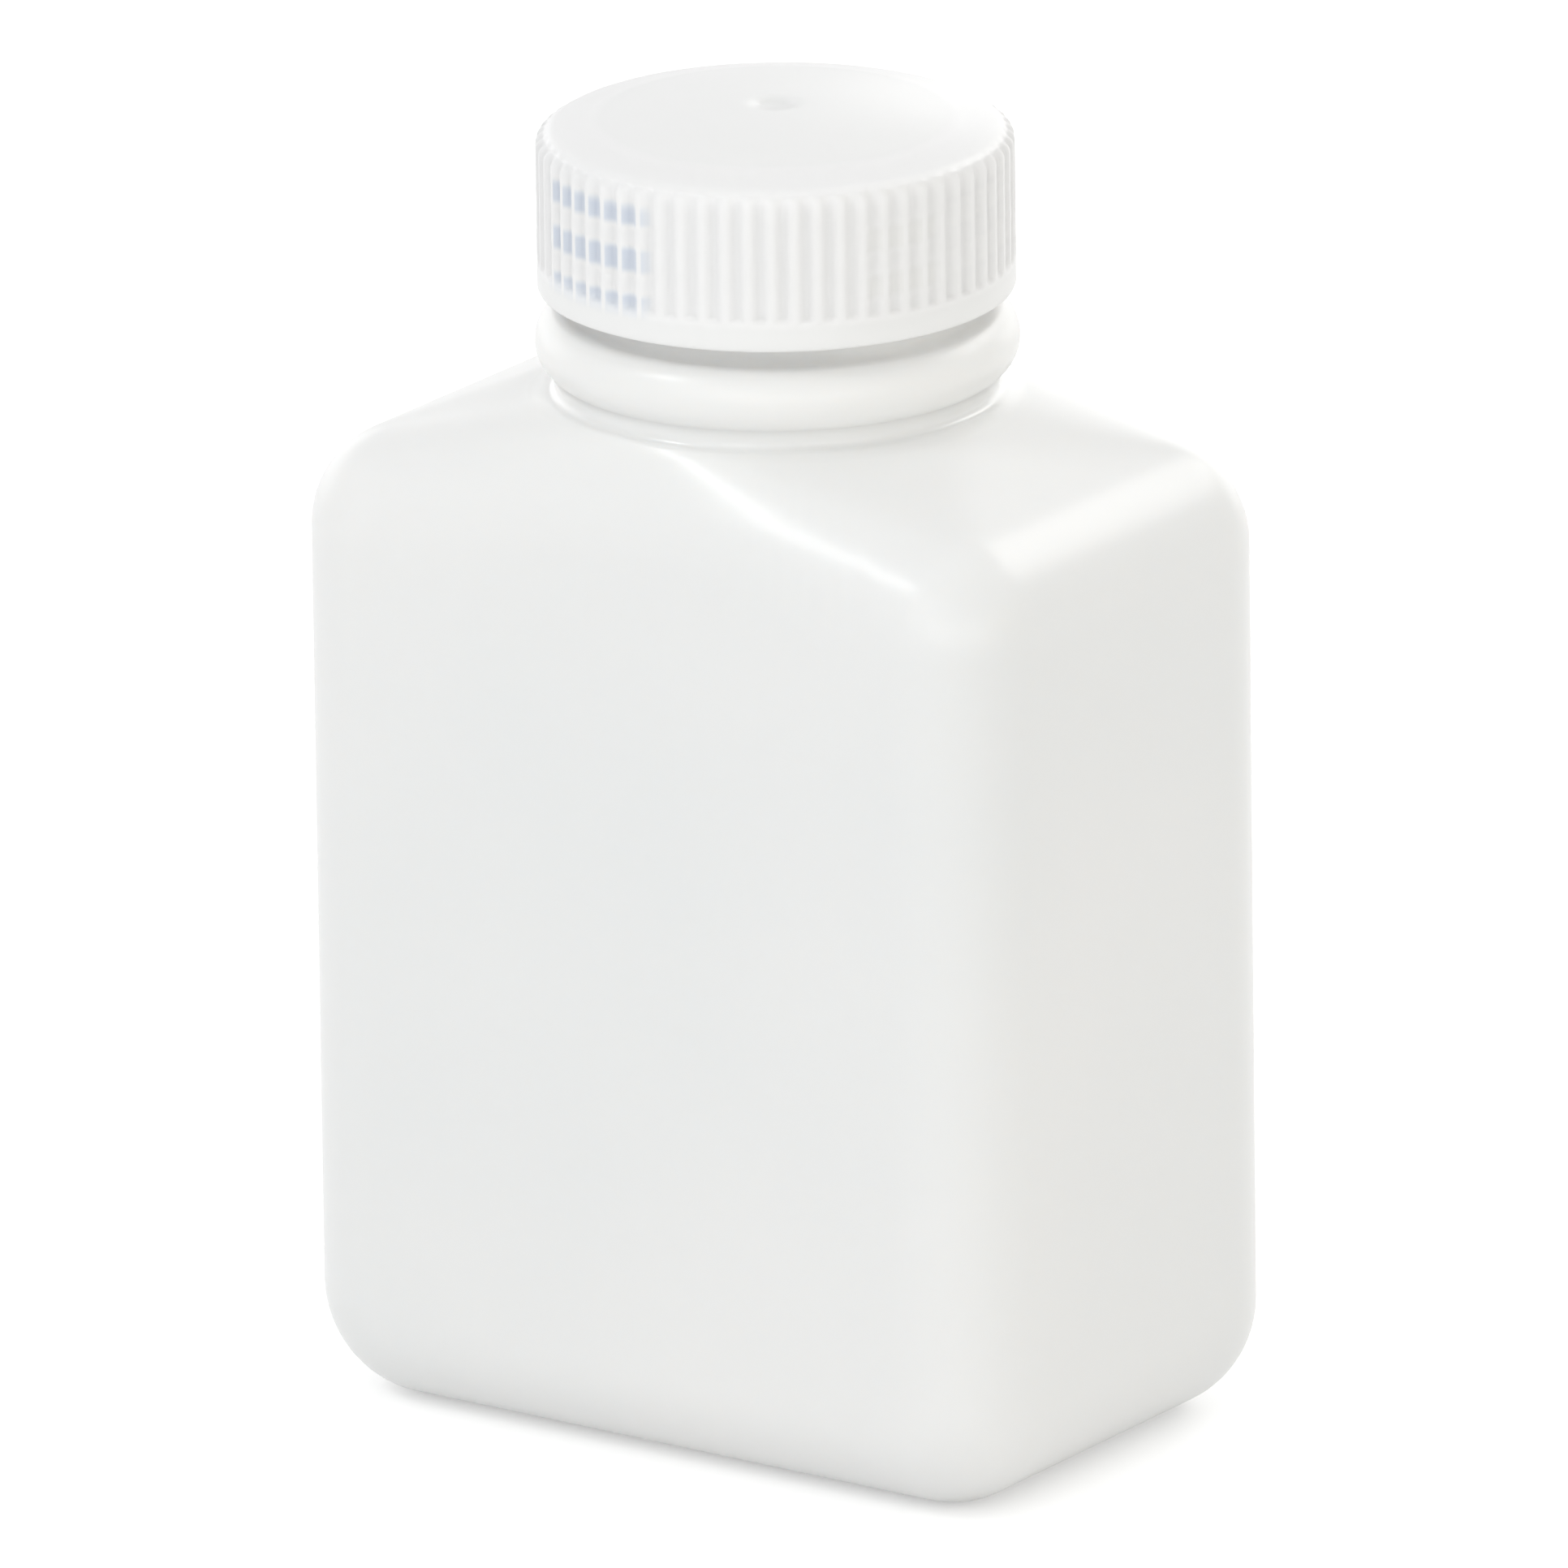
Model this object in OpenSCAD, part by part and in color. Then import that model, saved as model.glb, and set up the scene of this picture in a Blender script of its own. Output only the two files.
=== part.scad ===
// Rectangular blow-moulded bottle with a ribbed screw closure.
// Millimetres, +Z up, origin in the middle of the base. The wide faces look along Y.

/* [Bottle body] */
// Width over the narrow side faces
body_w = 75.6; // [66:0.2:90]
// Depth over the wide faces
body_d = 48; // [45:0.5:60]
// Height at which the straight sides end and the top corners begin
side_h = 80.2; // [55:0.2:110]
// Radius of the top corners, seen from the front
corner_r = 9.3; // [9.3:0.1:13]
// Radius of the bottom corners, seen from the front
foot_r = 10.4; // [9.4:0.2:14]
// Radius of the edges round the wide faces
edge_r = 9; // [5:0.2:9]
// Slope of the shoulder towards the narrow sides, in degrees
shoulder_slope = 11.4; // [8:0.1:16]
// Radius that rounds the shoulder's ridge under the neck
ridge_r = 95; // [40:1:110]
// Wall of the blown body
body_wall = 1.2; // [0.8:0.1:1.8]
// Thickness of the base, over the recess below it too
base_wall = 2.1; // [1.8:0.1:3]
// Depth of the recess under the base
recess_depth = 0.8; // [0.4:0.1:1]
// Width of the standing ring round the recess
standing_ring = 4; // [2.5:0.1:6]

/* [Neck] */
// Outer radius of the neck under the bead
neck_r = 19.6; // [18.6:0.1:20]
// Fillet where the neck leaves the shoulder
root_fillet = 0.7; // [0.3:0.1:1]
// Height of the plain neck under the bead
neck_plain_h = 1.8; // [1.1:0.1:4]
// Wall of the neck under the bead
neck_wall = 1.7; // [1.2:0.1:2.4]
// Outer radius of the bead
bead_r = 21.3; // [20.6:0.1:23]
// Height of the bead
bead_h = 5.6; // [4:0.1:7]
// Radius of the neck finish at the root of its thread
finish_r = 17.55; // [17:0.05:18.2]
// Height of the neck finish above the bead
finish_h = 15.2; // [13:0.1:20]
// Wall of the neck finish
finish_wall = 2.05; // [1.6:0.05:2.6]
// Height of the neck's thread above its root
thread_h = 1.2; // [0.8:0.05:1.4]

/* [Closure] */
// Gap between the thread's crest and the closure's skirt
thread_gap = 0.5; // [0.3:0.05:0.8]
// Wall of the skirt between the ribs
skirt_wall = 1.3; // [1:0.05:1.8]
// Height of a rib above the skirt
rib_h = 0.45; // [0.2:0.05:0.7]
// Number of ribs
rib_count = 64; // [36:4:80]
// Share of the circumference that the ribs take up at their feet
rib_share = 0.54; // [0.35:0.01:0.65]
// Gap between the closure's lower edge and the bead, where the finish shows
rim_gap = 2; // [0.3:0.1:3]
// Height of the plain band under the ribs, flush with their crests
plain_band_h = 2.4; // [1:0.1:4]
// Chamfer of the band's lower edge
rim_chamfer = 0.3; // [0.1:0.05:0.5]
// Rounding of the closure's top edge
top_edge_r = 1.5; // [1:0.1:4]
// Radius of the domed top
dome_r = 88; // [70:1:200]
// Height of the dome's crown above the bottle's mouth
crown_rise = 3.4; // [3:0.05:5]
// Thickness of the domed top
top_wall = 1.8; // [1.2:0.1:2]
// Radius of the moulding gate's dimple in the crown
gate_r = 1.6; // [1:0.1:3]
// Depth of the gate's dimple
gate_depth = 0.35; // [0.1:0.05:0.6]
// Clearance between the closure's land and the mouth's rim
seal_gap = 0.05; // [0.02:0.01:0.2]
// Clearance between the sealing plug and the bore
plug_gap = 0.3; // [0.2:0.05:0.6]
// Wall of the sealing plug
plug_wall = 1; // [0.7:0.05:1.4]
// Depth of the sealing plug in the bore
plug_depth = 3; // [2:0.1:5]

/* [Hidden] */

// Fineness of the body's corners and edges, in degrees for each step
arc_step = 9;
// Facets of the round ring that the shoulder rises to
ring_fn = 72;
// Short overrun that takes a cut cleanly past a face
overrun = 1;

// The shoulder's front outline: a corner arc, a straight slope and the ridge arc
slope_normal = [sin(shoulder_slope), cos(shoulder_slope)];
corner_x = body_w / 2 - corner_r;
slope_offset = slope_normal * [corner_x, side_h] + corner_r;
ridge_z = (slope_offset - ridge_r) / slope_normal[1];
ridge_top = ridge_z + ridge_r;

// Levels of the neck, each above the one before
root_step = 0.1;
root_z = ridge_top + root_step;
root_r = neck_r + root_fillet + root_step;
bead_low = root_z + neck_plain_h;
bead_top = bead_low + bead_h;
mouth_z = bead_top + finish_h;
bore_r = finish_r - finish_wall;
mouth_round = 0.5;
crest_r = finish_r + thread_h;

// The closure follows the neck that it screws on
rim_z = bead_top + rim_gap;
skirt_in_r = crest_r + thread_gap;
skirt_r = skirt_in_r + skirt_wall;
closure_r = skirt_r + rib_h;
land_z = mouth_z + seal_gap;
crown_z = mouth_z + crown_rise;
dome_z = crown_z - dome_r;
rib_low = rim_z + plain_band_h;
plug_r = bore_r - plug_gap;
plug_z = land_z - plug_depth;
lead_in = 0.4;

// Points on an arc in a plane, from angle a to angle b
function arc(centre, r, a, b, step = arc_step) =
    let (n = max(1, ceil(abs(b - a) / step)))
    [for (i = [0 : n]) let (t = a + (b - a) * i / n) centre + r * [cos(t), sin(t)]];

// Right half of the body's front outline, drawn in by a distance, from the foot to the ridge
function half_outline(inset) = concat(
    arc([body_w / 2 - foot_r, foot_r], foot_r - inset, -90, 0),
    arc([corner_x, side_h], corner_r - inset, 0, 90 - shoulder_slope),
    arc([0, ridge_z], ridge_r - inset, 90 - shoulder_slope, 90, 4));

// Whole front outline: the right half, then its mirror image without the shared ridge point
function outline(inset) =
    let (half = half_outline(inset), n = len(half))
    concat(half, [for (i = [n - 2 : -1 : 0]) [-half[i][0], half[i][1]]]);

// Rounded bulge between two heights of a revolved profile, an arc out to radius r_out
function bulge(r_in, r_out, low, high) =
    let (half = (high - low) / 2, rise = r_out - r_in,
         r = (half * half + rise * rise) / (2 * rise), a = asin(half / r))
    arc([r_out - r, low + half], r, -a, a);

// Slab of the front outline, drawn in by inset and reaching to y = half_depth both ways
module slab(inset, half_depth) {
    rotate([90, 0, 0])
        linear_extrude(height = 2 * half_depth, center = true)
            polygon(outline(inset));
}

// Body block: the front outline with rolled edges, rising to the neck's round root
module block(skin) {
    roll = edge_r - skin;
    hull() {
        for (a = [0 : arc_step : 90])
            slab(skin + roll * (1 - cos(a)), body_d / 2 - edge_r + roll * sin(a));
        translate([0, 0, root_z - skin - root_step])
            cylinder(r = root_r - skin, h = root_step, $fn = ring_fn);
    }
}

// Neck: fillet, plain stretch, rounded bead and the finish that the closure screws on
module neck_outside() {
    rotate_extrude($fn = 96)
        polygon(concat(
            [[0, root_z - body_wall / 2], [root_r - root_step, root_z - body_wall / 2]],
            arc([neck_r + root_fillet, root_z + root_fillet], root_fillet, 270, 180),
            bulge(neck_r, bead_r, bead_low, bead_top),
            [[finish_r, bead_top]],
            arc([finish_r - mouth_round, mouth_z - mouth_round], mouth_round, 0, 90),
            [[0, mouth_z]]));
}

// Inside of the neck: a straight bore that opens out below the finish
module neck_inside() {
    throat_r = neck_r - neck_wall;
    rotate_extrude($fn = 96)
        polygon([
            [0, root_z - 2 * body_wall],
            [throat_r, root_z - 2 * body_wall],
            [throat_r, bead_low + bead_h / 2],
            [bore_r, bead_top],
            [bore_r, mouth_z + overrun],
            [0, mouth_z + overrun]]);
}

// Cavity of the blown body, cut off flat above the base
module cavity() {
    intersection() {
        block(body_wall);
        translate([-body_w / 2, -body_d / 2, base_wall])
            cube([body_w, body_d, root_z]);
    }
}

// Long bar along X whose section is a shallow trapezoid, wide at the bottom
module recess_bar(length, width) {
    half = width / 2;
    slope = 3 * recess_depth;
    rotate([90, 0, 90])
        translate([0, 0, -length / 2])
            linear_extrude(height = length)
                polygon([[-half, -overrun], [half, -overrun], [half, 0], [half - slope, recess_depth],
                         [slope - half, recess_depth], [-half, 0]]);
}

// Shallow recess in the base with four sloping sides, inside a flat standing ring
module base_recess() {
    w = body_w - 2 * foot_r - 2 * standing_ring;
    d = body_d - 2 * edge_r - 2 * standing_ring;
    intersection() {
        recess_bar(w, d);
        rotate([0, 0, 90]) recess_bar(d, w);
    }
}

module bottle() {
    color([0.93, 0.94, 0.93])
        difference() {
            union() {
                block(0);
                neck_outside();
            }
            cavity();
            neck_inside();
            base_recess();
        }
}

// Outside of the closure as a revolved profile, with its side wall at radius r
module closure_turned(r) {
    edge_x = r - top_edge_r;
    edge_z = dome_z + sqrt(pow(dome_r - top_edge_r, 2) - edge_x * edge_x);
    meet = atan2(edge_z - dome_z, edge_x);
    gate = acos(gate_r / dome_r);
    rotate_extrude($fn = 128)
        polygon(concat(
            [[0, rim_z], [r - rim_chamfer, rim_z], [r, rim_z + rim_chamfer]],
            arc([edge_x, edge_z], top_edge_r, 0, meet),
            arc([0, dome_z], dome_r, meet, gate, 2),
            [[gate_r - gate_depth, crown_z - gate_depth], [0, crown_z - gate_depth]]));
}

// Blades that stand out like a gear's teeth, narrower towards their tips, above a plain band
module band_and_blades() {
    pitch = 360 / rib_count;
    foot = pitch * rib_share / 2;
    tip = foot * 0.7;
    hub_r = skirt_r - top_edge_r;
    tip_r = closure_r + overrun;
    translate([0, 0, rim_z])
        cylinder(r = tip_r, h = plain_band_h);
    translate([0, 0, rib_low])
        linear_extrude(height = crown_z - 2 * seal_gap - rib_low)
            polygon([for (i = [0 : rib_count - 1]) let (a = i * pitch)
                each [hub_r * [cos(a - pitch / 2), sin(a - pitch / 2)],
                      skirt_r * [cos(a - foot), sin(a - foot)],
                      tip_r * [cos(a - tip), sin(a - tip)],
                      tip_r * [cos(a + tip), sin(a + tip)],
                      skirt_r * [cos(a + foot), sin(a + foot)]]]);
}

// Hollow of the closure: skirt, land over the mouth, and the plug that seals in the bore
module closure_hollow() {
    dome_in = dome_r - top_wall;
    plug_in = plug_r - plug_wall;
    rotate_extrude($fn = 128)
        polygon(concat(
            [[0, rim_z - overrun], [skirt_in_r + lead_in, rim_z - overrun], [skirt_in_r + lead_in, rim_z],
             [skirt_in_r, rim_z + lead_in], [skirt_in_r, land_z], [plug_r, land_z],
             [plug_r, plug_z + lead_in], [plug_r - lead_in, plug_z], [plug_in, plug_z]],
            arc([0, dome_z], dome_in, acos(plug_in / dome_in), 90, 2)));
}

module closure() {
    color([0.95, 0.95, 0.95])
        difference() {
            union() {
                closure_turned(skirt_r);
                intersection() {
                    closure_turned(closure_r);
                    band_and_blades();
                }
            }
            closure_hollow();
        }
}

bottle();
closure();
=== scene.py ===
"""Studio picture of a rectangular laboratory bottle with its ribbed screw closure on.

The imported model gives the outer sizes. The others repeat those of its source, apart from the threads, the
neck's sweep and the ribs' ledge, which are added here. The bottle is one closed shell whose rows run from the
middle of the base, up the body and neck, over the mouth and down the inside. The closure is turned by a node
tree, which adds ribs and thread. All lengths are in metres, with Z up and the bottle standing on Z = 0.
"""
import math

import bmesh
import bpy
from mathutils import Matrix, Vector
from mathutils.bvhtree import BVHTree


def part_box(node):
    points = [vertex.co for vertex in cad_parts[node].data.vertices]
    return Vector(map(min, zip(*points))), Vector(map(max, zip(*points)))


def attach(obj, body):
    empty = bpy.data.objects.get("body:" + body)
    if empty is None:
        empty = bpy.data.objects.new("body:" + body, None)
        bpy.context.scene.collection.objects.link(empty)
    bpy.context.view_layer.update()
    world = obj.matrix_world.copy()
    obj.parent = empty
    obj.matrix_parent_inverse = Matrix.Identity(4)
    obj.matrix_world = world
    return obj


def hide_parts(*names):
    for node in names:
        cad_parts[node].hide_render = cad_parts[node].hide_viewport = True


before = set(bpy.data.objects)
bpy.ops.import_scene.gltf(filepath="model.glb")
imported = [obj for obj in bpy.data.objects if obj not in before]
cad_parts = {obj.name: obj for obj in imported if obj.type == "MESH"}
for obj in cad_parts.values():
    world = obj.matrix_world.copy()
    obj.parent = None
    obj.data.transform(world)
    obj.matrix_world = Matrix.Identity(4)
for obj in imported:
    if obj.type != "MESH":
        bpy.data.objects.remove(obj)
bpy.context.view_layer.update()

MM = 0.001

# Bottle body
bottle_low, bottle_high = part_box("bottle")
BODY_W = bottle_high.x - bottle_low.x
BODY_D = bottle_high.y - bottle_low.y
MOUTH_Z = bottle_high.z
SIDE_H = 80.2 * MM
CORNER_R = 9.3 * MM
FOOT_R = 10.4 * MM
EDGE_R = 9 * MM
SHOULDER_SLOPE = math.radians(11.4)
RIDGE_R = 95 * MM
BODY_WALL = 1.2 * MM
BASE_WALL = 2.1 * MM
RECESS_DEPTH = 0.8 * MM
STANDING_RING = 4 * MM

# Height inside the body from which rays find its form
RAY_START = 45 * MM

# Neck, with a sweep from the bead into the finish and a step where the body meets the root's fillet
NECK_R = 19.6 * MM
ROOT_FILLET = 0.7 * MM
NECK_PLAIN_H = 1.8 * MM
NECK_WALL = 1.7 * MM
BEAD_R = 21.3 * MM
BEAD_H = 5.6 * MM
FINISH_R = 17.55 * MM
FINISH_H = 15.2 * MM
BORE_R = 15.5 * MM
MOUTH_ROUND = 0.5 * MM
SWEEP_R = 1.5 * MM
ROOT_STEP = 0.1 * MM
BEAD_TOP = MOUTH_Z - FINISH_H
BEAD_LOW = BEAD_TOP - BEAD_H
ROOT_Z = BEAD_LOW - NECK_PLAIN_H
ROOT_R = NECK_R + ROOT_FILLET + ROOT_STEP

# Thread that the closure turns on, which fades in and out over a share of a turn
PITCH = 25.4 * MM / 6
THREAD_H = 1.2 * MM
THREAD_CREST = 0.9 * MM
THREAD_FOOT = 2.5 * MM
THREAD_START_Z = BEAD_TOP + 0.7 * MM
THREAD_TURNS = 2.75
THREAD_START = math.radians(-60)
THREAD_FADE = 0.16

# Painted shade of the neck's thread, put on the skirt in rows and bluish at the left: direction and half
# width in degrees, height of a row, colour
THREAD_SHADE_WINDOWS = (
    (-107, 19, 110.1 * MM, (0.70, 0.745, 0.82, 1)),
    (-23, 11, 112.6 * MM, (0.90, 0.90, 0.89, 1)),
    (96, 104, 108.2 * MM, (0.92, 0.925, 0.93, 1)),
)

# Closure
closure_low, closure_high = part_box("closure")
CLOSURE_R = (closure_high.x - closure_low.x) / 2
RIM_Z = closure_low.z
CROWN_Z = closure_high.z
RIB_H = 0.45 * MM
RIB_COUNT = 64
COLUMNS_PER_RIB = 8
LEDGE_H = 0.6 * MM
SKIRT_WALL = 1.3 * MM
PLAIN_BAND_H = 2.4 * MM
RIM_CHAMFER = 0.3 * MM
TOP_EDGE_R = 1.5 * MM
DOME_R = 88 * MM
TOP_WALL = 1.8 * MM
GATE_R = 1.6 * MM
GATE_DEPTH = 0.35 * MM
SEAL_GAP = 0.05 * MM
PLUG_GAP = 0.3 * MM
PLUG_WALL = 1 * MM
PLUG_DEPTH = 3 * MM
LEAD_IN = 0.4 * MM
SKIRT_R = CLOSURE_R - RIB_H
SKIRT_IN_R = SKIRT_R - SKIRT_WALL
RIB_LOW = RIM_Z + PLAIN_BAND_H

# Thread inside the skirt
INNER_THREAD_H = 1.15 * MM
INNER_THREAD_CREST = 0.7 * MM
INNER_THREAD_FOOT = 1.9 * MM
INNER_THREAD_TURNS = 2.2
INNER_THREAD_FADE = 0.12

# Camera found from the photograph's outline, for its square frame of this many pixels
PHOTO_SIDE = 1932
FOCAL_PIXELS = 43225
CAMERA_DISTANCE = 3.0886
CAMERA_AZIMUTH = math.radians(34.97)
CAMERA_ELEVATION = math.radians(17.74)
CAMERA_ROLL = math.radians(-0.735)
AIM_SIDE = 0.07 * MM
AIM_HEIGHT = 56.91 * MM
SENSOR = 36

# Level at which the surroundings light the object, and what the floor adds to itself where it is seen
LIGHT_LEVEL = 0.66
FLOOR_LIFT = 0.38


def smooth(x):
    """0 below 0, 1 above 1, and an even S curve between."""
    x = min(1.0, max(0.0, x))
    return x * x * (3 - 2 * x)


def spread(start, stop, step):
    """Evenly spaced values from start to stop, about a step apart, both ends included."""
    n = max(1, round(abs(stop - start) / step))
    return [start + (stop - start) * i / n for i in range(n + 1)]


def arc(cx, cz, r, start, stop, step=6.0):
    """Points on an arc in a profile plane, between two angles in degrees."""
    angles = [math.radians(angle) for angle in spread(start, stop, step)]
    return [(cx + r * math.cos(angle), cz + r * math.sin(angle)) for angle in angles]


def body_outline(inset):
    """The body's front outline, drawn in by inset: feet, corners, sloping shoulder and rounded ridge."""
    slope = math.degrees(SHOULDER_SLOPE)
    corner_x = BODY_W / 2 - CORNER_R
    reach = math.sin(SHOULDER_SLOPE) * corner_x + math.cos(SHOULDER_SLOPE) * SIDE_H + CORNER_R
    ridge_z = (reach - RIDGE_R) / math.cos(SHOULDER_SLOPE)
    foot = arc(BODY_W / 2 - FOOT_R, FOOT_R, FOOT_R - inset, -90, 0, 2)
    corner = arc(corner_x, SIDE_H, CORNER_R - inset, 0, 90 - slope, 2)
    ridge = arc(0, ridge_z, RIDGE_R - inset, 90 - slope, 90, 1)
    half = foot + corner + ridge
    return half + [(-x, z) for x, z in reversed(half[:-1])]


def body_hull(skin):
    """Search tree of the body's convex form, drawn in by skin: rolled outlines and the neck's root."""
    mesh = bmesh.new()
    roll = EDGE_R - skin
    for angle in spread(0, math.pi / 2, math.radians(3)):
        y = BODY_D / 2 - EDGE_R + roll * math.sin(angle)
        for x, z in body_outline(skin + roll * (1 - math.cos(angle))):
            mesh.verts.new((x, y, z))
            mesh.verts.new((x, -y, z))
    for angle in spread(0, 2 * math.pi, math.radians(1.5)):
        r = ROOT_R - skin
        mesh.verts.new((r * math.cos(angle), r * math.sin(angle), ROOT_Z - skin))
    bmesh.ops.convex_hull(mesh, input=mesh.verts[:])
    tree = BVHTree.FromBMesh(mesh)
    mesh.free()
    return tree


def azimuths():
    """Directions round the neck's axis, in radians, closer together over the body's four upright edges."""
    quarter = spread(0, 20, 2.5) + spread(20, 42, 1)[1:] + spread(42, 90, 3)[1:]
    half = quarter + [180 - a for a in reversed(quarter[:-1])]
    return [math.radians(a) for a in half + [a + 180 for a in half[1:-1]]]


def recess(x, y):
    """How far the base is pressed up at a point, inside its flat standing ring."""
    half_w = BODY_W / 2 - FOOT_R - STANDING_RING
    half_d = BODY_D / 2 - EDGE_R - STANDING_RING
    inside = min(half_w - abs(x), half_d - abs(y))
    return RECESS_DEPTH * smooth(inside / (3 * RECESS_DEPTH))


def body_rows(tree, angles, floor_z, latitudes, press):
    """Rows of points where rays from the middle of the body meet its form, one row for each latitude. No
    point is lower than floor_z, and press pushes the recess into the base."""
    middle = Vector((0, 0, RAY_START))
    rows = []
    for latitude in latitudes:
        row = []
        for angle in angles:
            flat = math.cos(math.radians(latitude))
            rise = math.sin(math.radians(latitude))
            ray = Vector((flat * math.cos(angle), flat * math.sin(angle), rise))
            hit = tree.ray_cast(middle, ray)[0]
            if hit.z < floor_z:
                hit = middle + ray * ((floor_z - middle.z) / ray.z)
            if press and hit.z < 0.01 * MM:
                hit.z += recess(hit.x, hit.y)
            row.append(hit)
        rows.append(row)
    return rows


def thread_rise(z, angle):
    """Share of the neck thread's full height at a height and direction: 1 on the crest, 0 at the root."""
    round_axis = (angle - THREAD_START) / (2 * math.pi)
    lead = (z - THREAD_START_Z) / PITCH - round_axis
    turn = round(lead)
    along = turn + round_axis
    off = abs(lead - turn) * PITCH
    flank = (THREAD_FOOT - THREAD_CREST) / 2
    rise = smooth(1 - (off - THREAD_CREST / 2) / flank)
    return rise * smooth(along / THREAD_FADE) * smooth((THREAD_TURNS - along) / THREAD_FADE)


def neck_outside():
    """Half section of the neck below its thread: root fillet, plain stretch, bead and sweep."""
    half = BEAD_H / 2
    rise = BEAD_R - NECK_R
    bead_arc = (half * half + rise * rise) / (2 * rise)
    lean = math.degrees(math.asin(half / bead_arc))
    profile = arc(NECK_R + ROOT_FILLET, ROOT_Z + ROOT_FILLET, ROOT_FILLET, 270, 180, 15)
    profile += arc(BEAD_R - bead_arc, BEAD_LOW + half, bead_arc, -lean, lean, 6)
    return profile + arc(FINISH_R + SWEEP_R, BEAD_TOP + SWEEP_R, SWEEP_R, 262, 192, 10)


def neck_inside():
    """Half section of the neck from the mouth's rounded rim down the bore and the throat."""
    profile = arc(FINISH_R - MOUTH_ROUND, MOUTH_Z - MOUTH_ROUND, MOUTH_ROUND, 0, 90, 15)[1:]
    profile += arc(BORE_R + MOUTH_ROUND / 2, MOUTH_Z - MOUTH_ROUND / 2, MOUTH_ROUND / 2, 90, 180, 30)
    profile += [(BORE_R, z) for z in spread(MOUTH_Z - 1 * MM, BEAD_TOP + 1 * MM, 2 * MM)]
    throat_r = NECK_R - NECK_WALL
    low, high = BEAD_LOW + BEAD_H / 2, BEAD_TOP
    profile += [(BORE_R + (throat_r - BORE_R) * smooth((high - z) / (high - low)), z)
                for z in spread(high, low, 0.4 * MM)]
    profile += [(throat_r, ROOT_Z), (throat_r, ROOT_Z - BODY_WALL + 0.3 * MM)]
    return profile + [(throat_r + 0.3 * MM, ROOT_Z - BODY_WALL)]


def turned_row(r, z, angles):
    """One row of points round the axis."""
    return [Vector((r * math.cos(angle), r * math.sin(angle), z)) for angle in angles]


def neck_rows(angles):
    """Rows round the neck, up the outside and down the inside, with the thread raised on the finish."""
    rows = [turned_row(r, z, angles) for r, z in neck_outside()]
    for z in spread(BEAD_TOP + SWEEP_R, MOUTH_Z - MOUTH_ROUND, 0.2 * MM):
        row = []
        for angle in angles:
            r = FINISH_R + THREAD_H * thread_rise(z, angle)
            row.append(Vector((r * math.cos(angle), r * math.sin(angle), z)))
        rows.append(row)
    return rows + [turned_row(r, z, angles) for r, z in neck_inside()]


def skin_of(rows, first_pole, last_pole, name):
    """Closed mesh over rows of points that go round the axis, with a point at each end."""
    mesh = bmesh.new()
    rings = [[mesh.verts.new(point) for point in row] for row in rows]
    count = len(rings[0])
    for low, high in zip(rings, rings[1:]):
        for i in range(count):
            mesh.faces.new((low[i], low[(i + 1) % count], high[(i + 1) % count], high[i]))
    for pole, ring, turned in ((first_pole, rings[0], True), (last_pole, rings[-1], False)):
        middle = mesh.verts.new(pole)
        for i in range(count):
            pair = (ring[(i + 1) % count], ring[i]) if turned else (ring[i], ring[(i + 1) % count])
            mesh.faces.new((middle, *pair))
    bmesh.ops.recalc_face_normals(mesh, faces=mesh.faces[:])
    data = bpy.data.meshes.new(name)
    mesh.to_mesh(data)
    mesh.free()
    data.shade_smooth()
    piece = bpy.data.objects.new(name, data)
    bpy.context.collection.objects.link(piece)
    return piece


def make_bottle(material):
    """The whole blown bottle as one closed shell. Its rows lie closer together where the form turns."""
    angles = azimuths()
    root_latitude = math.degrees(math.atan2(ROOT_Z - RAY_START, ROOT_R))
    outer = spread(-89.2, -72, 0.9) + spread(-72, -32, 0.8)[1:] + spread(-32, 30, 4.5)[1:]
    outer += spread(30, root_latitude - 0.25, 0.8)[1:]
    inner = spread(root_latitude - 1.5, 30, 1.6) + spread(30, -32, 5)[1:] + spread(-32, -88, 1.6)[1:]
    rows = body_rows(body_hull(0), angles, -1, outer, True)
    rows += neck_rows(angles)
    rows += body_rows(body_hull(BODY_WALL), angles, BASE_WALL, inner, False)
    piece = skin_of(rows, (0, 0, RECESS_DEPTH), (0, 0, BASE_WALL), "bottle_shell")
    piece.data.materials.append(material)
    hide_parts("bottle")
    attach(piece, "bottle")
    return piece


# Closure

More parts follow.
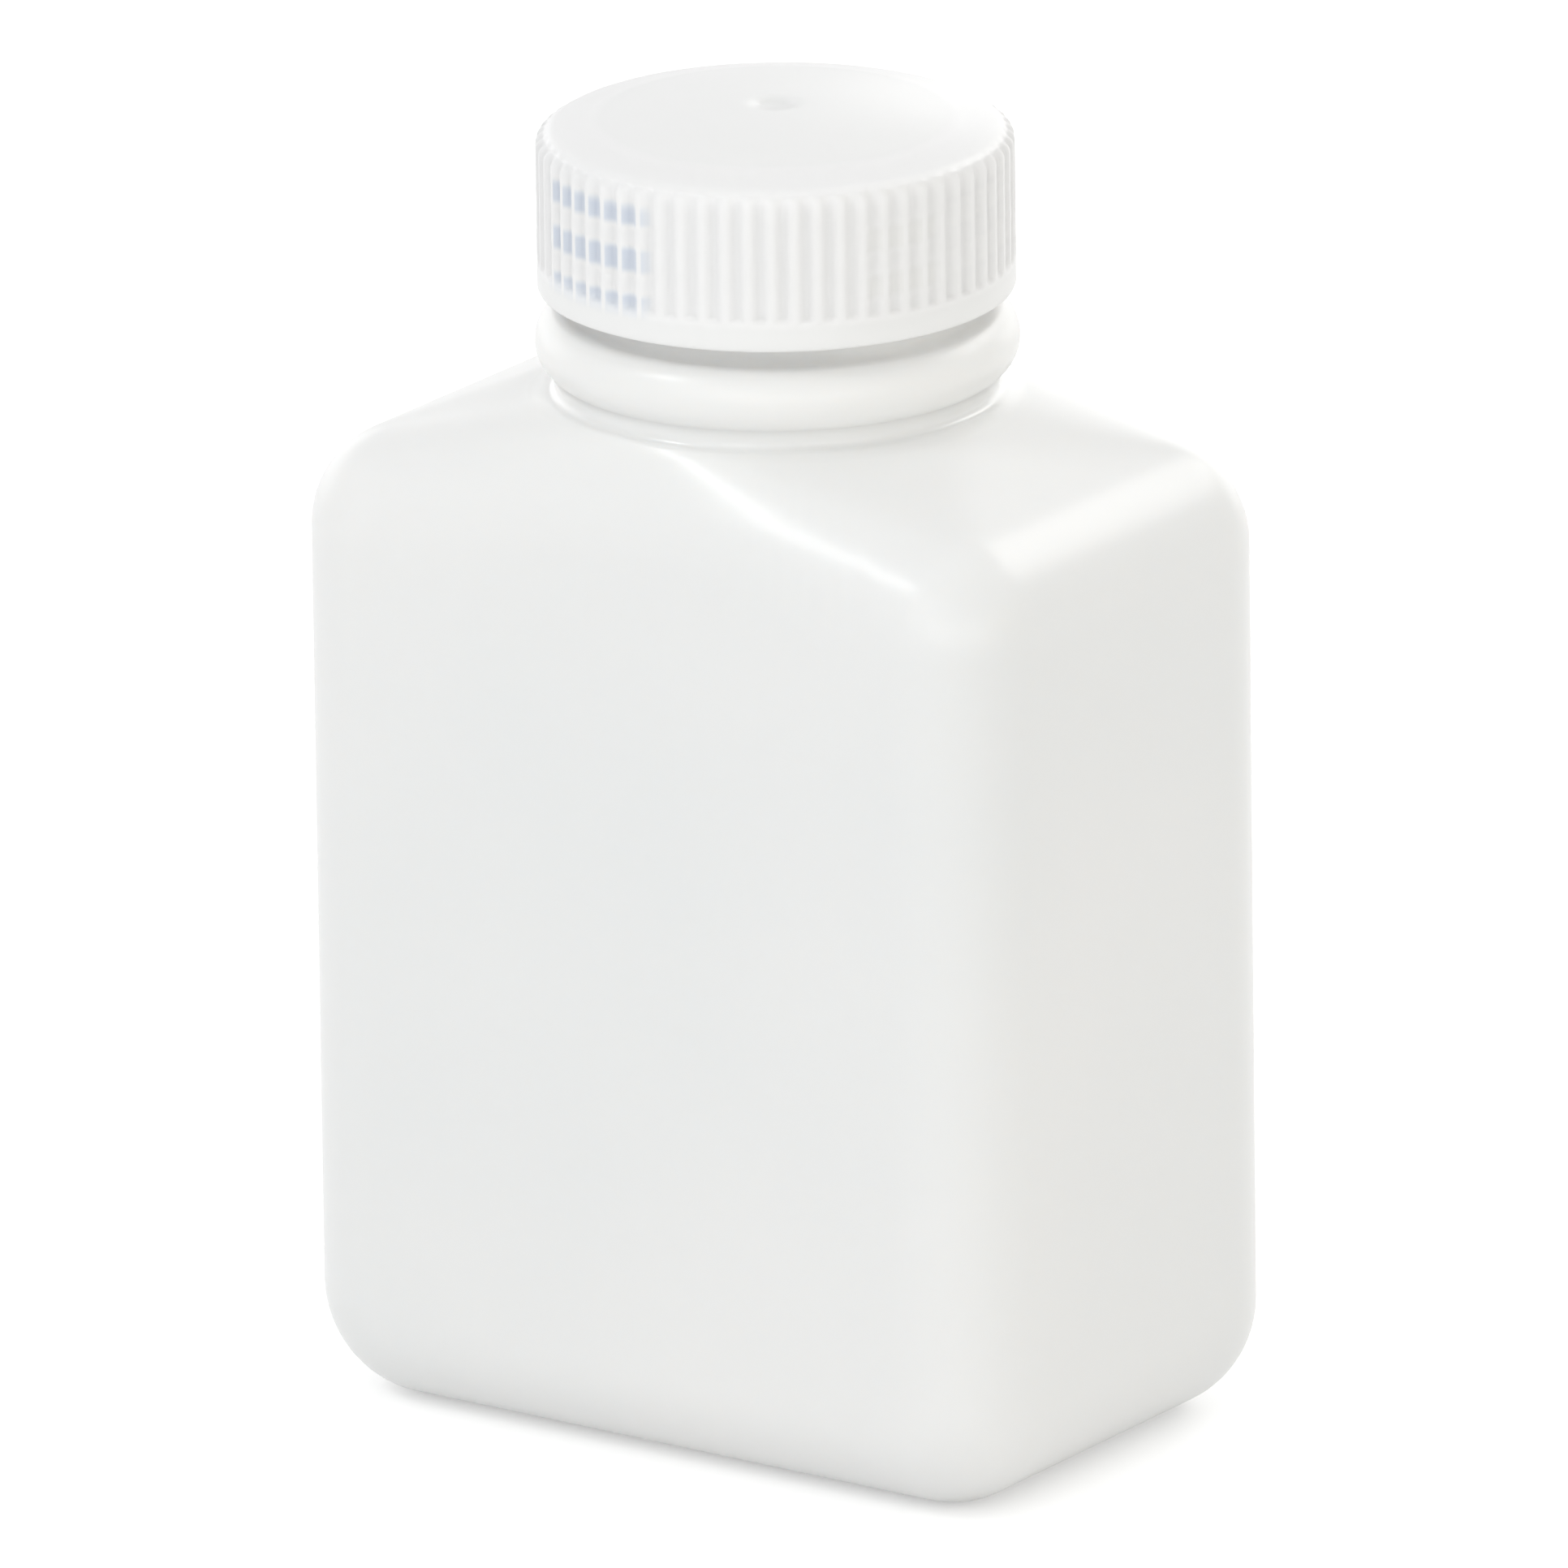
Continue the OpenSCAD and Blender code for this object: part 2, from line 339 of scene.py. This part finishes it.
def closure_profile():
    """Half section of the closure from the crown over the outside, round the rim and up the inside. Each
    point has two weights: how much of a rib it carries, and how much of the inner thread."""
    dome_z = CROWN_Z - DOME_R
    edge_x = SKIRT_R - TOP_EDGE_R
    edge_z = dome_z + math.sqrt((DOME_R - TOP_EDGE_R) ** 2 - edge_x ** 2)
    meet = math.degrees(math.atan2(edge_z - dome_z, edge_x))
    gate = math.degrees(math.acos(GATE_R / DOME_R))
    points = []

    def put(pairs, rib=lambda z: 0.0, thread=lambda z: 0.0):
        points.extend((r, z, rib(z), thread(z)) for r, z in pairs)

    put([(0, CROWN_Z - GATE_DEPTH), (GATE_R * 0.5, CROWN_Z - GATE_DEPTH)])
    put([(GATE_R * 0.8, CROWN_Z - GATE_DEPTH * 0.8)])
    put(arc(0, dome_z, DOME_R, gate, meet, 0.9))
    edge = arc(edge_x, edge_z, TOP_EDGE_R, meet, 0, 9)[1:]
    put(edge, rib=lambda z: smooth((edge_z + 1.3 * MM - z) / (1.1 * MM)))
    put([(SKIRT_R, z) for z in spread(edge_z - 1 * MM, RIB_LOW + 1 * MM, 1.6 * MM)], rib=lambda z: 1.0)
    for share in spread(1, 0, 0.125):
        ledge = SKIRT_R + RIB_H * (1 - smooth(share))
        put([(ledge, RIB_LOW + LEDGE_H * share)], rib=lambda z: smooth(share))
    put([(CLOSURE_R, RIB_LOW - 0.3 * MM), (CLOSURE_R, RIM_Z + 2 * RIM_CHAMFER)])
    put([(CLOSURE_R, RIM_Z + RIM_CHAMFER)])
    put([(CLOSURE_R - RIM_CHAMFER * 0.3, RIM_Z + RIM_CHAMFER * 0.3), (CLOSURE_R - RIM_CHAMFER, RIM_Z)])
    put([(SKIRT_IN_R + 2 * LEAD_IN, RIM_Z), (SKIRT_IN_R + LEAD_IN + 0.1 * MM, RIM_Z)])
    put([(SKIRT_IN_R + LEAD_IN, RIM_Z + 0.1 * MM), (SKIRT_IN_R, RIM_Z + LEAD_IN + 0.1 * MM)])
    land_z = MOUTH_Z + SEAL_GAP
    threaded = spread(RIM_Z + 0.8 * MM, land_z - 0.4 * MM, 0.3 * MM)
    put([(SKIRT_IN_R, z) for z in threaded], thread=lambda z: 1.0)
    plug_r = BORE_R - PLUG_GAP
    plug_in = plug_r - PLUG_WALL
    plug_z = land_z - PLUG_DEPTH
    put([(SKIRT_IN_R - 0.1 * MM, land_z - 0.1 * MM), (SKIRT_IN_R - 0.3 * MM, land_z)])
    put([(plug_r + 0.3 * MM, land_z), (plug_r, land_z - 0.2 * MM), (plug_r, plug_z + LEAD_IN)])
    put([(plug_r - LEAD_IN * 0.3, plug_z + LEAD_IN * 0.3), (plug_r - LEAD_IN, plug_z)])
    put([(plug_in + 0.15 * MM, plug_z), (plug_in, plug_z + 0.15 * MM)])
    dome_in = DOME_R - TOP_WALL
    inner = math.degrees(math.acos(plug_in / dome_in))
    top = dome_z + dome_in * math.sin(math.radians(inner))
    put([(plug_in, top - 0.4 * MM), (plug_in - 0.1 * MM, top - 0.08 * MM)])
    put(arc(0, dome_z, dome_in, inner + 0.4, 90, 1.5))
    return points


class Tree:
    """Short way to write a geometry node tree: nodes are made with their settings and inputs in one call."""

    def __init__(self, name):
        self.tree = bpy.data.node_groups.new(name, "GeometryNodeTree")
        self.tree.is_modifier = True
        self.tree.interface.new_socket("Geometry", in_out="INPUT", socket_type="NodeSocketGeometry")
        self.tree.interface.new_socket("Geometry", in_out="OUTPUT", socket_type="NodeSocketGeometry")
        self.entry = self.tree.nodes.new("NodeGroupInput")
        self.out = self.tree.nodes.new("NodeGroupOutput")

    def size(self, name, kind="NodeSocketFloat"):
        """Adds a named input to the tree and returns its socket."""
        self.tree.interface.new_socket(name, in_out="INPUT", socket_type=kind)
        return self.entry.outputs[name]

    def add(self, kind, *inputs, **settings):
        """Adds a node. Each input is a socket, a value, or None to leave it alone."""
        node = self.tree.nodes.new(kind)
        for key, value in settings.items():
            setattr(node, key, value)
        live = [socket for socket in node.inputs if socket.enabled]
        for socket, value in zip(live, inputs):
            if isinstance(value, bpy.types.NodeSocket):
                self.tree.links.new(value, socket)
            elif value is not None:
                socket.default_value = value
        return node

    def math(self, operation, *inputs):
        """Adds one step of arithmetic and returns its result."""
        return self.add("ShaderNodeMath", *inputs, operation=operation).outputs[0]

    def ramp(self, value, low, high):
        """Even S curve from 0 at low to 1 at high."""
        node = self.add("ShaderNodeMapRange", value, low, high, 0.0, 1.0, interpolation_type="SMOOTHSTEP")
        return node.outputs[0]


def named(t, name, data_type):
    """A stored attribute of the section."""
    node = t.add("GeometryNodeInputNamedAttribute", name, data_type=data_type)
    return next(socket for socket in node.outputs if socket.enabled and socket.name == "Attribute")


def sampled(t, section, row, field, data_type):
    """What the section holds at the row of each grid point."""
    node = t.add("GeometryNodeSampleIndex", data_type=data_type, domain="POINT")
    t.tree.links.new(section, node.inputs["Geometry"])
    value = next(socket for socket in node.inputs if socket.enabled and socket.name == "Value")
    t.tree.links.new(field, value)
    t.tree.links.new(row, node.inputs["Index"])
    return next(socket for socket in node.outputs if socket.enabled)


def helix(t, z, angle, part):
    """Share of the thread's full height at each point, from the tree's inputs for the parts of its shape."""
    round_axis = t.math("DIVIDE", t.math("SUBTRACT", angle, part["phase"]), 2 * math.pi)
    height = t.math("DIVIDE", t.math("SUBTRACT", z, part["start"]), part["pitch"])
    lead = t.math("SUBTRACT", height, round_axis)
    turn = t.math("ROUND", lead)
    along = t.math("ADD", turn, round_axis)
    off = t.math("MULTIPLY", t.math("ABSOLUTE", t.math("SUBTRACT", lead, turn)), part["pitch"])
    flank = t.ramp(off, t.math("DIVIDE", part["foot"], 2.0), t.math("DIVIDE", part["crest"], 2.0))
    fade_in = t.ramp(along, 0.0, part["fade"])
    fade_out = t.ramp(t.math("SUBTRACT", part["turns"], along), 0.0, part["fade"])
    return t.math("MULTIPLY", flank, t.math("MULTIPLY", fade_in, fade_out))


def turned_tree():
    """Node tree that turns a half section round the axis, with ribs and a thread where it carries them."""
    t = Tree("turned_closure")
    columns = t.size("Columns", "NodeSocketInt")
    ribs = t.size("Ribs", "NodeSocketInt")
    rib_h = t.size("Rib height")
    thread_h = t.size("Thread height")
    parts = ("pitch", "start", "turns", "phase", "crest", "foot", "fade")
    thread_part = {part: t.size("Thread " + part) for part in parts}
    finish = t.size("Material", "NodeSocketMaterial")
    section = t.entry.outputs["Geometry"]

    rows = t.add("GeometryNodeAttributeDomainSize", section, component="MESH").outputs["Point Count"]
    grid = t.add("GeometryNodeMeshGrid", 1.0, 1.0, t.math("ADD", columns, 1.0), rows).outputs["Mesh"]
    index = t.add("GeometryNodeInputIndex").outputs[0]
    row = t.math("MODULO", index, rows)
    column = t.math("FLOOR", t.math("DIVIDE", t.math("ADD", index, 0.5), rows))
    angle = t.math("MULTIPLY", t.math("DIVIDE", column, columns), 2 * math.pi)

    def at_row(field, data_type):
        return sampled(t, section, row, field, data_type)

    position = t.add("GeometryNodeInputPosition").outputs[0]
    place = t.add("ShaderNodeSeparateXYZ", at_row(position, "FLOAT_VECTOR"))
    lean = t.add("ShaderNodeSeparateXYZ", at_row(named(t, "outward", "FLOAT_VECTOR"), "FLOAT_VECTOR"))
    rib_share = at_row(named(t, "rib", "FLOAT"), "FLOAT")
    thread_share = at_row(named(t, "thread", "FLOAT"), "FLOAT")
    r, z = place.outputs["X"], place.outputs["Z"]

    wave = t.math("COSINE", t.math("MULTIPLY", angle, ribs))
    rib = t.math("MULTIPLY", t.math("MULTIPLY", t.ramp(wave, -1.0, 0.9), rib_h), rib_share)

    thread = t.math("MULTIPLY", helix(t, z, angle, thread_part), t.math("MULTIPLY", thread_h, thread_share))

    rise = t.math("ADD", rib, thread)
    grown_r = t.math("ADD", r, t.math("MULTIPLY", rise, lean.outputs["X"]))
    grown_z = t.math("ADD", z, t.math("MULTIPLY", rise, lean.outputs["Z"]))
    x = t.math("MULTIPLY", grown_r, t.math("COSINE", angle))
    y = t.math("MULTIPLY", grown_r, t.math("SINE", angle))
    spot = t.add("ShaderNodeCombineXYZ", x, y, grown_z).outputs[0]
    placed = t.add("GeometryNodeSetPosition", grid, None, spot).outputs[0]
    merged = t.add("GeometryNodeMergeByDistance", placed, None, 0.002 * MM).outputs[0]
    shaded = t.add("GeometryNodeSetShadeSmooth", merged, None, True).outputs[0]
    real = t.add("GeometryNodeRealizeInstances", shaded).outputs[0]
    finished = t.add("GeometryNodeSetMaterial", real, None, finish).outputs[0]
    t.tree.links.new(finished, t.out.inputs["Geometry"])
    return t.tree


def section_object(points, name):
    """The half section as an edge chain that carries its weights and its outward direction. The direction
    points straight from the axis where the ribs run out over the plain band."""
    mesh = bpy.data.meshes.new(name)
    mesh.from_pydata([(r, 0, z) for r, z, _, _ in points], [(i, i + 1) for i in range(len(points) - 1)], [])
    for label, column in (("rib", 2), ("thread", 3)):
        layer = mesh.attributes.new(label, "FLOAT", "POINT")
        for i, point in enumerate(points):
            layer.data[i].value = point[column]
    layer = mesh.attributes.new("outward", "FLOAT_VECTOR", "POINT")
    for i in range(len(points)):
        before, after = points[max(i - 1, 0)], points[min(i + 1, len(points) - 1)]
        outward = Vector((before[1] - after[1], 0, after[0] - before[0])).normalized()
        layer.data[i].vector = Vector((1, 0, 0)) if points[i][0] > SKIRT_R else outward
    piece = bpy.data.objects.new(name, mesh)
    bpy.context.collection.objects.link(piece)
    return piece


def make_closure(material):
    """The ribbed closure with its inner thread and sealing plug."""
    piece = section_object(closure_profile(), "closure_shell")
    tree = turned_tree()
    modifier = piece.modifiers.new("turned", "NODES")
    modifier.node_group = tree
    sizes = {
        "Columns": RIB_COUNT * COLUMNS_PER_RIB,
        "Ribs": RIB_COUNT,
        "Rib height": RIB_H,
        "Thread height": INNER_THREAD_H,
        "Thread pitch": PITCH,
        "Thread start": THREAD_START_Z + PITCH / 2,
        "Thread turns": INNER_THREAD_TURNS,
        "Thread phase": THREAD_START,
        "Thread crest": INNER_THREAD_CREST,
        "Thread foot": INNER_THREAD_FOOT,
        "Thread fade": INNER_THREAD_FADE,
        "Material": material,
    }
    for item in tree.interface.items_tree:
        if item.in_out == "INPUT" and item.name in sizes:
            modifier[item.identifier] = sizes[item.name]
    piece.data.update()
    graph = bpy.context.evaluated_depsgraph_get()
    made = bpy.data.meshes.new_from_object(piece.evaluated_get(graph))
    piece.modifiers.remove(modifier)
    piece.data = made
    fix = bmesh.new()
    fix.from_mesh(made)
    bmesh.ops.recalc_face_normals(fix, faces=fix.faces[:])
    fix.to_mesh(made)
    fix.free()
    made.shade_smooth()
    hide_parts("closure")
    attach(piece, "closure")
    return piece


# Materials

class Nodes:
    """Short way to write a material or the world: a node is made with its settings and inputs in one call."""

    def __init__(self, owner):
        owner.use_nodes = True
        self.tree = owner.node_tree
        self.tree.nodes.clear()

    def add(self, kind, inputs=None, **settings):
        """Adds a node. Each input is given by its name or number, with a socket to link or a value."""
        node = self.tree.nodes.new(kind)
        for key, value in settings.items():
            setattr(node, key, value)
        for key, value in (inputs or {}).items():
            if isinstance(value, bpy.types.NodeSocket):
                self.tree.links.new(value, node.inputs[key])
            else:
                node.inputs[key].default_value = value
        return node

    def step(self, operation, *values):
        """Adds one step of arithmetic and returns its result."""
        return self.add("ShaderNodeMath", dict(enumerate(values)), operation=operation).outputs[0]

    def ramp(self, value, low, high):
        """Even S curve from 0 at low to 1 at high."""
        inputs = {"Value": value, "From Min": low, "From Max": high}
        return self.add("ShaderNodeMapRange", inputs, interpolation_type="SMOOTHSTEP").outputs[0]

    def mix(self, share, first, second):
        """The first colour where the share is 0, and the second where it is 1."""
        return self.add("ShaderNodeMix", {0: share, 6: first, 7: second}, data_type="RGBA").outputs[2]

    def seen(self):
        """1 for rays that show the studio, by gloss or through glass too, and 0 for those that light."""
        path = self.add("ShaderNodeLightPath").outputs
        through = self.step("MAXIMUM", path["Is Camera Ray"], path["Is Transmission Ray"])
        return self.step("MAXIMUM", through, path["Is Glossy Ray"])


def bottle_tint_and_finish_light(n, clouds, height):
    """Milky colour in faint clouds, and painted light: paler above the bead, to lift the shade under the
    closure.
    """
    tint = n.add("ShaderNodeValToRGB", {"Fac": clouds})
    low, high = tint.color_ramp.elements
    low.position = 0.3
    low.color = (0.83, 0.84, 0.835, 1)
    high.position = 0.7
    high.color = (0.87, 0.868, 0.855, 1)
    # Painted light: the finish above the bead is paler than the body, to lift the shade in the gap under the
    # closure.
    inputs = {"Value": height, "From Min": BEAD_TOP - 0.6 * MM, "From Max": BEAD_TOP}
    finish = n.add("ShaderNodeMapRange", inputs)
    return n.mix(finish.outputs[0], tint.outputs["Color"], (0.92, 0.92, 0.91, 1))


def root_gloss(n, height):
    """Weight of the glossy coat: thin all over, and strong in the neck's root, where it catches the light."""
    away = n.step("ABSOLUTE", n.step("SUBTRACT", height, ROOT_Z + ROOT_FILLET / 2))
    inputs = {"Value": away, "From Min": 0.9 * MM, "From Max": 0.4 * MM, "To Min": 0.1, "To Max": 0.8}
    return n.add("ShaderNodeMapRange", inputs).outputs[0]


def bottle_material():
    """Natural high-density polyethylene: milky, waxy, a soft satin with faint unevenness from blowing."""
    material = bpy.data.materials.new("natural_hdpe")
    n = Nodes(material)
    place = n.add("ShaderNodeTexCoord").outputs["Object"]
    height = n.add("ShaderNodeSeparateXYZ", {0: place}).outputs["Z"]
    noise = n.add("ShaderNodeTexNoise", {"Vector": place, "Scale": 22.0, "Detail": 2.0, "Roughness": 0.45})
    clouds = noise.outputs["Fac"]
    grain = n.add("ShaderNodeTexNoise", {"Vector": place, "Scale": 900.0, "Detail": 3.0})
    waves = n.add("ShaderNodeTexNoise", {"Vector": place, "Scale": 60.0, "Detail": 1.0})
    fine = n.add("ShaderNodeBump", {"Height": grain.outputs["Fac"], "Strength": 0.03, "Distance": 0.0002})
    soft = n.add("ShaderNodeBump", {"Height": waves.outputs["Fac"], "Strength": 0.12, "Distance": 0.0006,
                                    "Normal": fine.outputs["Normal"]})
    gloss = n.add("ShaderNodeMapRange", {"Value": clouds, "To Min": 0.29, "To Max": 0.35})
    body = n.add("ShaderNodeBsdfPrincipled", {
        "Base Color": bottle_tint_and_finish_light(n, clouds, height),
        "Roughness": gloss.outputs[0],
        "IOR": 1.53,
        "Subsurface Weight": 0.8,
        "Subsurface Radius": (1.0, 0.95, 0.9),
        "Subsurface Scale": 0.0015,
        "Coat Weight": root_gloss(n, height),
        "Coat Roughness": 0.16,
        "Normal": soft.outputs["Normal"],
    })
    n.add("ShaderNodeOutputMaterial", {"Surface": body.outputs[0]})
    return material


def evened_ribs(n, flat, reach, height, normal):
    """The surface's normal, leaned toward the plain cylinder's on the outside of the skirt, because light
    spreads within the ribs and softens them."""
    outward = n.add("ShaderNodeVectorMath", {0: flat}, operation="NORMALIZE").outputs[0]
    outside = n.ramp(reach, SKIRT_R - 0.4 * MM, SKIRT_R - 0.1 * MM)
    below_top = n.ramp(height, MOUTH_Z + 1.6 * MM, MOUTH_Z + 0.8 * MM)
    share = n.step("MULTIPLY", n.step("MULTIPLY", outside, below_top), 0.55)
    return n.add("ShaderNodeMix", {0: share, 4: normal, 5: outward}, data_type="VECTOR").outputs[1]


def closure_tone_and_bore_shade(n, spot, reach):
    """Milky colour, with painted shade on the top over the mouth's bore, and a little darker on the plain
    band.
    """
    over_bore = n.ramp(reach, BORE_R + 1 * MM, BORE_R - 0.5 * MM)
    # Painted shade: the top over the bore is darker.
    bore = n.step("MULTIPLY", over_bore, n.ramp(spot["Z"], MOUTH_Z + 1 * MM, MOUTH_Z + 1.6 * MM))
    band = n.ramp(spot["Z"], RIB_LOW + 0.5 * MM, RIB_LOW - 0.5 * MM)
    return n.mix(n.step("MAXIMUM", bore, band), (0.975, 0.975, 0.97, 1), (0.90, 0.905, 0.90, 1))


def painted_thread_shade(n, spot, colour):
    """The colour with painted shade in rows where the neck's thread lies under the skirt, broken by the rib
    crests.
    """
    angle = n.step("ARCTAN2", spot["Y"], spot["X"])
    crest = n.ramp(n.step("COSINE", n.step("MULTIPLY", angle, RIB_COUNT)), 0.55, 0.95)
    between = n.step("SUBTRACT", 1.0, n.step("MULTIPLY", crest, 0.75))
    above_band = n.ramp(spot["Z"], RIB_LOW - 1 * MM, RIB_LOW + 1.5 * MM)
    below_top = n.ramp(spot["Z"], MOUTH_Z - 0.2 * MM, MOUTH_Z - 1.8 * MM)
    on_skirt = n.step("MULTIPLY", above_band, below_top)
    # Each window paints shade in rows that follow the thread's helix, in its own colour.
    for middle, half_width, row_z, tint in THREAD_SHADE_WINDOWS:
        past = n.step("ADD", angle, math.radians(180 - middle))
        turned = n.step("FLOORED_MODULO", past, 2 * math.pi)
        away = n.step("ABSOLUTE", n.step("SUBTRACT", turned, math.pi))
        window = n.ramp(away, math.radians(half_width + 3), math.radians(half_width - 3))
        lead = n.step("DIVIDE", n.step("SUBTRACT", spot["Z"], row_z), PITCH)
        round_axis = n.step("DIVIDE", n.step("SUBTRACT", angle, math.radians(middle)), 2 * math.pi)
        turn = n.step("SUBTRACT", lead, round_axis)
        off = n.step("ABSOLUTE", n.step("SUBTRACT", turn, n.step("ROUND", turn)))
        row = n.step("MULTIPLY", n.ramp(off, 0.35, 0.15), on_skirt)
        share = n.step("MULTIPLY", n.step("MULTIPLY", window, row), between)
        colour = n.mix(share, colour, tint)
    return colour


def closure_material():
    """Natural polypropylene: milky and soft, with painted shade in rows where the thread lies below it."""
    material = bpy.data.materials.new("natural_pp")
    n = Nodes(material)
    place = n.add("ShaderNodeTexCoord").outputs["Object"]
    haze = n.add("ShaderNodeTexNoise", {"Vector": place, "Scale": 120.0, "Detail": 2.0})
    gloss = n.add("ShaderNodeMapRange", {"Value": haze.outputs["Fac"], "To Min": 0.29, "To Max": 0.34})
    waves = n.add("ShaderNodeTexNoise", {"Vector": place, "Scale": 90.0, "Detail": 1.0})
    soft = n.add("ShaderNodeBump", {"Height": waves.outputs["Fac"], "Strength": 0.1, "Distance": 0.0004})
    spot = n.add("ShaderNodeSeparateXYZ", {0: place}).outputs
    flat = n.add("ShaderNodeCombineXYZ", {"X": spot["X"], "Y": spot["Y"]}).outputs[0]
    reach = n.add("ShaderNodeVectorMath", {0: flat}, operation="LENGTH").outputs["Value"]
    body = n.add("ShaderNodeBsdfPrincipled", {
        # The base colour carries painted shade: rows over the thread, and the top over the bore.
        "Base Color": painted_thread_shade(n, spot, closure_tone_and_bore_shade(n, spot, reach)),
        "Roughness": gloss.outputs[0],
        "IOR": 1.49,
        "Alpha": 0.95,
        "Subsurface Weight": 1.0,
        "Subsurface Radius": (1.0, 1.0, 1.0),
        "Subsurface Scale": 0.0012,
        "Normal": evened_ribs(n, flat, reach, spot["Z"], soft.outputs["Normal"]),
    })
    n.add("ShaderNodeOutputMaterial", {"Surface": body.outputs[0]})
    return material


# Studio

def floor_material():
    """Pale floor that reads as white paper but keeps the object's shadow."""
    material = bpy.data.materials.new("studio_floor")
    n = Nodes(material)
    paper = n.add("ShaderNodeBsdfPrincipled", {
        "Base Color": (0.82, 0.82, 0.82, 1),
        "Roughness": 0.9,
        "Specular IOR Level": 0.1,
        "Emission Color": (1, 1, 1, 1),
        "Emission Strength": n.step("MULTIPLY", n.seen(), FLOOR_LIFT),
    })
    n.add("ShaderNodeOutputMaterial", {"Surface": paper.outputs[0]})
    return material


def make_floor():
    """Wide floor disc under the bottle."""
    mesh = bmesh.new()
    bmesh.ops.create_circle(mesh, cap_ends=True, segments=96, radius=40)
    data = bpy.data.meshes.new("studio_floor")
    mesh.to_mesh(data)
    mesh.free()
    floor = bpy.data.objects.new("studio_floor", data)
    bpy.context.collection.objects.link(floor)
    data.materials.append(floor_material())


def make_world():
    """Even white surroundings: full white where they are seen, dimmer where they light the object."""
    world = bpy.data.worlds.new("studio")
    bpy.context.scene.world = world
    n = Nodes(world)
    level = n.add("ShaderNodeMapRange", {"Value": n.seen(), "To Min": LIGHT_LEVEL, "To Max": 1.0})
    light = n.add("ShaderNodeBackground", {"Color": (1, 1, 1, 1), "Strength": level.outputs[0]})
    n.add("ShaderNodeOutputWorld", {"Surface": light.outputs[0]})


def softbox(name, azimuth, elevation, distance, width, height, power, colour):
    """Rectangular lamp that looks at the middle of the bottle from a direction given as the camera's is."""
    a, e = math.radians(azimuth), math.radians(elevation)
    away = Vector((math.sin(a) * math.cos(e), -math.cos(a) * math.cos(e), math.sin(e)))
    data = bpy.data.lights.new(name, "AREA")
    data.shape = "RECTANGLE"
    data.size, data.size_y = width, height
    data.energy = power
    data.color = colour
    lamp = bpy.data.objects.new(name, data)
    lamp.location = Vector((0, 0, AIM_HEIGHT)) + away * distance
    lamp.rotation_mode = "QUATERNION"
    lamp.rotation_quaternion = away.to_track_quat("Z", "Y")
    bpy.context.collection.objects.link(lamp)


def make_lights():
    """Small key above to the left for the crisp shoulder highlight, a broad lamp behind for the soft one on
    the right, and weak fills all round: low ones reach under the closure, and the right one is warm."""
    softbox("key", -31, 46, 1.0, 0.16, 0.16, 1.0, (0.97, 0.99, 1))
    softbox("back_fill", 165, 36, 1.2, 0.7, 0.45, 2.2, (1, 0.99, 0.97))
    softbox("right_fill", 95, 8, 1.5, 1.2, 1.2, 1.3, (1, 0.82, 0.4))
    softbox("front_fill", 5, 25, 1.5, 1.2, 1.2, 3.0, (0.97, 0.99, 1))
    softbox("low_fill", 42, 8, 1.5, 2.0, 0.8, 4.6, (1, 0.99, 0.96))
    softbox("left_fill", -110, 8, 1.5, 1.2, 0.8, 2.4, (1, 1, 0.99))
    softbox("rear_fill", 190, 10, 1.5, 1.2, 0.8, 2.6, (1, 1, 0.99))
    softbox("top_fill", 0, 80, 1.5, 1.2, 1.2, 1.4, (1, 1, 1))


def make_camera():
    """Camera at the photograph's angle, with a long lens."""
    a, e = CAMERA_AZIMUTH, CAMERA_ELEVATION
    back = Vector((math.sin(a) * math.cos(e), -math.cos(a) * math.cos(e), math.sin(e)))
    side = Vector((math.cos(a), math.sin(a), 0))
    up = back.cross(side)
    roll = CAMERA_ROLL
    right = side * math.cos(roll) + up * math.sin(roll)
    top = up * math.cos(roll) - side * math.sin(roll)
    data = bpy.data.cameras.new("camera")
    data.sensor_width = SENSOR
    data.lens = FOCAL_PIXELS / PHOTO_SIDE * SENSOR
    data.clip_start, data.clip_end = 0.1, 100
    camera = bpy.data.objects.new("camera", data)
    place = side * AIM_SIDE + Vector((0, 0, AIM_HEIGHT)) + back * CAMERA_DISTANCE
    turn = Matrix((right, top, back)).transposed().to_4x4()
    camera.matrix_world = Matrix.Translation(place) @ turn
    bpy.context.collection.objects.link(camera)
    bpy.context.scene.camera = camera


make_bottle(bottle_material())
make_closure(closure_material())
make_floor()
make_world()
make_lights()
make_camera()
bpy.context.scene.view_settings.view_transform = "Standard"
